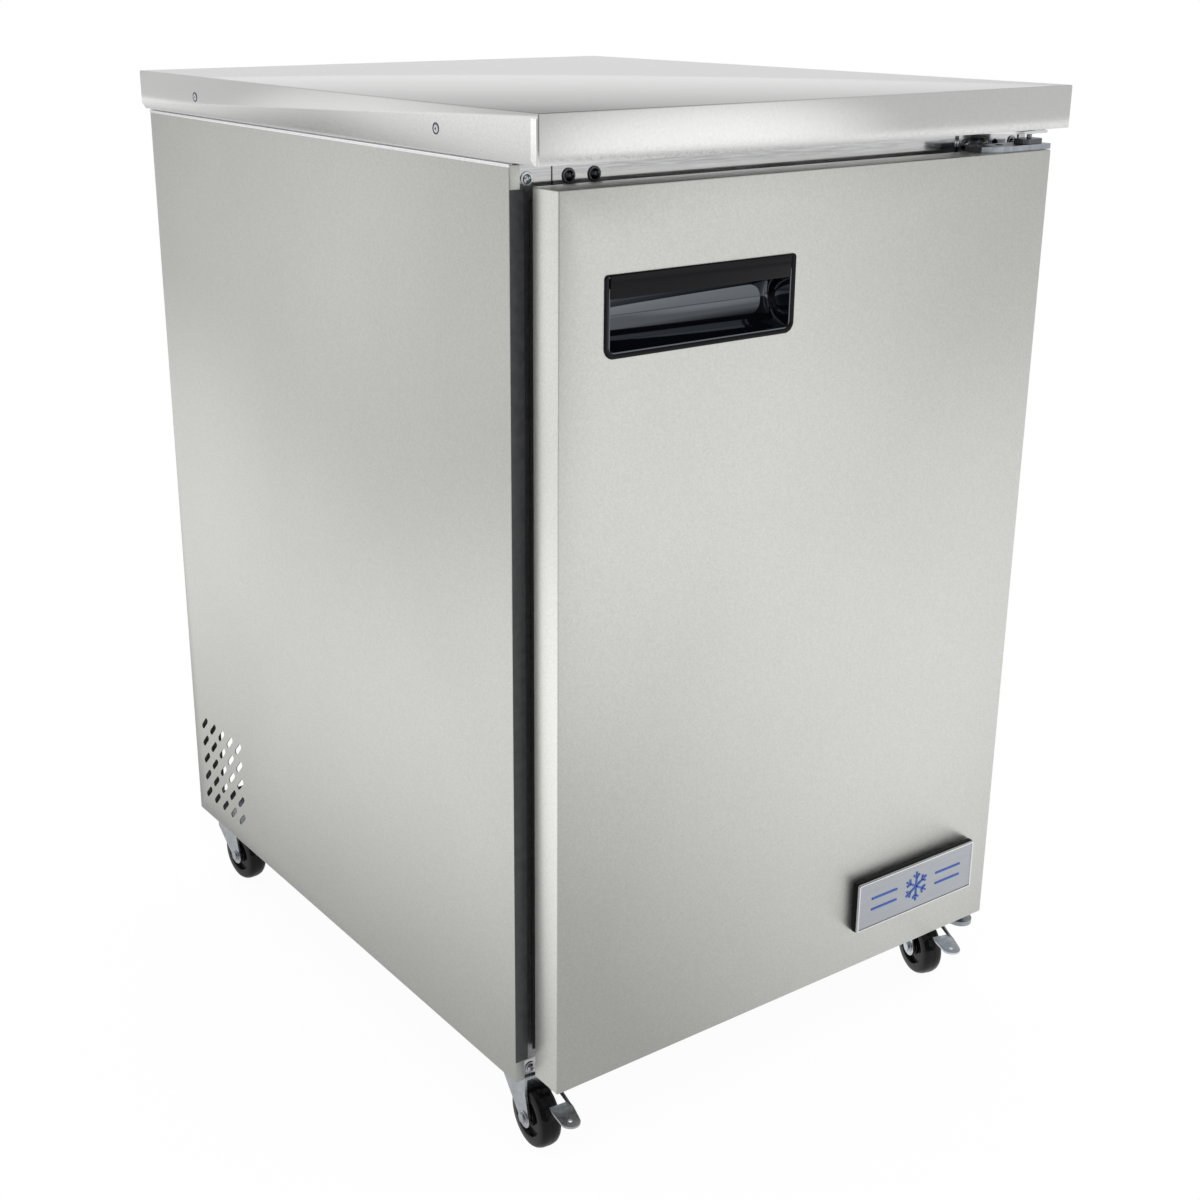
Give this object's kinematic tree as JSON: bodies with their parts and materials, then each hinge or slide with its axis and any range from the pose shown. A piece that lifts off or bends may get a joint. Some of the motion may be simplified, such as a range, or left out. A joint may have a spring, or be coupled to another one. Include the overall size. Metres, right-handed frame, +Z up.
{
  "type": "undercounter refrigerator",
  "caption": "Low stainless steel refrigerator with one right-hinged door, a recessed pull, wire shelves, rear machine compartment and braked swivel casters.",
  "frame": {"origin": "on the floor, under the middle of the part's bounding box", "axes": "+Z up, -Y out of the door, +X towards the hinge side (the viewer's right when facing the door)"},
  "size_m": [0.6, 0.7416, 0.948],
  "materials": {
    "stainless": "satin stainless steel",
    "polished_stainless": "bright stainless steel",
    "liner": "stucco-embossed aluminium",
    "fins": "plain aluminium fins",
    "badge": "brushed aluminium",
    "galvanised": "galvanised steel",
    "zinc": "bright zinc plate",
    "hinge_zinc": "zinc plate",
    "black_enamel": "black enamel",
    "copper": "bare copper",
    "foam": "rigid polyurethane foam",
    "white_plastic": "white ABS",
    "black_plastic": "glossy black plastic",
    "button": "white plastic",
    "wire_coating": "white-coated wire",
    "black_rubber": "matte black",
    "gasket": "matte black soft PVC",
    "wheel_rubber": "glossy black"
  },
  "bodies": {
    "cabinet": {"worktop": "stainless", "side_panel_left": "stainless", "side_panel_right": "stainless", "front_frame": "polished_stainless", "cabinet_foam": "foam", "inner_liner": "liner", "compartment_liner": "galvanised", "rear_panel": "galvanised", "base_pan": "galvanised", "shelf_support_front_left": "liner", "shelf_support_front_right": "liner", "shelf_support_rear_left": "liner", "shelf_support_rear_right": "liner", "evaporator_cover": "white_plastic", "evaporator_coil": "fins", "evaporator_fan_motor": "black_enamel", "controller_housing": "black_plastic", "compressor": "black_enamel", "condenser_coil": "fins", "condenser_shroud": "galvanised", "condenser_fan_motor": "black_enamel", "refrigerant_piping": "copper", "condensate_pan": "black_plastic", "power_cord": "black_rubber", "upper_hinge_bracket": "polished_stainless", "lower_hinge_bracket": "hinge_zinc", "caster_front_left_plate": "zinc", "caster_front_right_plate": "zinc", "caster_rear_left_plate": "zinc", "caster_rear_right_plate": "zinc"},
    "door": {"door_skin": "stainless", "door_foam": "foam", "door_liner": "liner", "door_gasket": "gasket", "handle_cup": "black_plastic", "badge": "badge", "door_hinge_plate": "hinge_zinc", "hinge_bush": "black_plastic", "upper_hinge_pin": "hinge_zinc"},
    "lower_shelf": {"shelf_lower": "wire_coating"},
    "upper_shelf": {"shelf_upper": "wire_coating"},
    "evaporator_fan": {"evaporator_fan_blade": "black_plastic"},
    "condenser_fan": {"condenser_fan_blade": "black_plastic"},
    "set_button": {"controller_button_set": "button"},
    "up_button": {"controller_button_up": "button"},
    "down_button": {"controller_button_down": "button"},
    "caster_front_left_swivel_body": {"caster_front_left_fork": "zinc", "caster_front_left_axle": "zinc"},
    "caster_front_left_wheel_body": {"caster_front_left_wheel": "wheel_rubber"},
    "caster_front_right_swivel_body": {"caster_front_right_fork": "zinc", "caster_front_right_axle": "zinc"},
    "caster_front_right_wheel_body": {"caster_front_right_wheel": "wheel_rubber"},
    "caster_rear_left_swivel_body": {"caster_rear_left_fork": "zinc", "caster_rear_left_axle": "zinc"},
    "caster_rear_left_wheel_body": {"caster_rear_left_wheel": "wheel_rubber"},
    "caster_rear_right_swivel_body": {"caster_rear_right_fork": "zinc", "caster_rear_right_axle": "zinc"},
    "caster_rear_right_wheel_body": {"caster_rear_right_wheel": "wheel_rubber"},
    "brake_front_left": {"brake_lever_front_left": "zinc"},
    "brake_front_right": {"brake_lever_front_right": "zinc"}
  },
  "joints": [
    {"name": "door_hinge", "type": "hinge", "parent": "cabinet", "child": "door", "pos_m": [0.263, -0.34916, 0.5], "axis": [0, 0, 1], "range_deg": [0, 120]},
    {"name": "lower_shelf_lift", "type": "slide", "parent": "cabinet", "child": "lower_shelf", "axis": [0, 0, 1], "range_m": [0, 0.02]},
    {"name": "upper_shelf_lift", "type": "slide", "parent": "cabinet", "child": "upper_shelf", "axis": [0, 0, 1], "range_m": [0, 0.015]},
    {"name": "evaporator_fan_spin", "type": "hinge", "parent": "cabinet", "child": "evaporator_fan", "pos_m": [-0.065, 0.23984, 0.735], "axis": [0, 1, 0], "continuous": true},
    {"name": "condenser_fan_spin", "type": "hinge", "parent": "cabinet", "child": "condenser_fan", "pos_m": [-0.133, 0.24784, 0.194], "axis": [1, 0, 0], "continuous": true},
    {"name": "set_button_press", "type": "slide", "parent": "cabinet", "child": "set_button", "axis": [0, 1, 0], "range_m": [0, 0.001], "stiffness_N_per_m": 200},
    {"name": "up_button_press", "type": "slide", "parent": "cabinet", "child": "up_button", "axis": [0, 1, 0], "range_m": [0, 0.001], "stiffness_N_per_m": 200},
    {"name": "down_button_press", "type": "slide", "parent": "cabinet", "child": "down_button", "axis": [0, 1, 0], "range_m": [0, 0.001], "stiffness_N_per_m": 200},
    {"name": "caster_front_left_swivel", "type": "hinge", "parent": "cabinet", "child": "caster_front_left_swivel_body", "pos_m": [-0.26, -0.28616, 0.075], "axis": [0, 0, 1], "continuous": true},
    {"name": "caster_front_left_roll", "type": "hinge", "parent": "caster_front_left_swivel_body", "child": "caster_front_left_wheel_body", "pos_m": [-0.26157, -0.30409, 0.032], "axis": [0.9962, -0.0872, 0], "continuous": true},
    {"name": "brake_front_left_press", "type": "hinge", "parent": "caster_front_left_swivel_body", "child": "brake_front_left", "pos_m": [-0.2607, -0.29413, 0.0685], "axis": [0.9962, -0.0872, 0], "range_deg": [0, 10]},
    {"name": "caster_front_right_swivel", "type": "hinge", "parent": "cabinet", "child": "caster_front_right_swivel_body", "pos_m": [0.26, -0.28616, 0.075], "axis": [0, 0, 1], "continuous": true},
    {"name": "caster_front_right_roll", "type": "hinge", "parent": "caster_front_right_swivel_body", "child": "caster_front_right_wheel_body", "pos_m": [0.25504, -0.30346, 0.032], "axis": [0.9613, -0.2756, 0], "continuous": true},
    {"name": "brake_front_right_press", "type": "hinge", "parent": "caster_front_right_swivel_body", "child": "brake_front_right", "pos_m": [0.25779, -0.29385, 0.0685], "axis": [0.9613, -0.2756, 0], "range_deg": [0, 10]},
    {"name": "caster_rear_left_swivel", "type": "hinge", "parent": "cabinet", "child": "caster_rear_left_swivel_body", "pos_m": [-0.26, 0.33784, 0.075], "axis": [0, 0, 1], "continuous": true},
    {"name": "caster_rear_left_roll", "type": "hinge", "parent": "caster_rear_left_swivel_body", "child": "caster_rear_left_wheel_body", "pos_m": [-0.25843, 0.31991, 0.032], "axis": [0.9962, 0.0872, 0], "continuous": true},
    {"name": "caster_rear_right_swivel", "type": "hinge", "parent": "cabinet", "child": "caster_rear_right_swivel_body", "pos_m": [0.26, 0.33784, 0.075], "axis": [0, 0, 1], "continuous": true},
    {"name": "caster_rear_right_roll", "type": "hinge", "parent": "caster_rear_right_swivel_body", "child": "caster_rear_right_wheel_body", "pos_m": [0.25874, 0.31988, 0.032], "axis": [0.9976, -0.0698, 0], "continuous": true}
  ]
}
